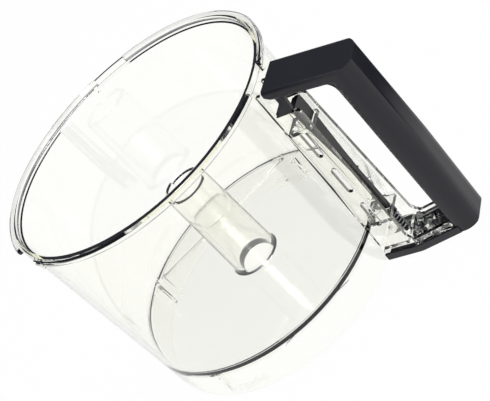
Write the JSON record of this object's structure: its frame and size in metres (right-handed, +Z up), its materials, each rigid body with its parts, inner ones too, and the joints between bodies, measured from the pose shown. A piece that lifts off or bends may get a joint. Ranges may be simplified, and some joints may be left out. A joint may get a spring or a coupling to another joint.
{
  "type": "food processor bowl",
  "caption": "Clear round mixing bowl with a raised centre tube, a slotted channel with a sprung push rod, and a closed black loop handle.",
  "frame": {"origin": "on the axis of the bowl, at the lower mouth of the centre tube, level with the underside of the floor", "axes": "+Z up along the centre tube through the open mouth, +X towards the handle, +Y follows by the right-hand rule"},
  "size_m": [0.2562, 0.196, 0.1503],
  "materials": {
    "clear_polycarbonate": "clear gloss",
    "black_abs": "satin, moulded",
    "black_acetal": "satin, moulded",
    "spring_steel": "bright wire",
    "zinc_steel": "zinc plated"
  },
  "bodies": {
    "bowl_body": {"bowl": "clear_polycarbonate", "handle": "black_abs", "handle_screw": "zinc_steel", "return_spring": "spring_steel"},
    "rod_body": {"push_rod": "black_acetal"}
  },
  "joints": [
    {"name": "rod_press", "type": "slide", "parent": "bowl_body", "child": "rod_body", "axis": [0, 0, -1], "range_m": [0, 0.005], "stiffness_N_per_m": 400, "springref_m": -0.004, "deforming": ["return_spring"]}
  ]
}
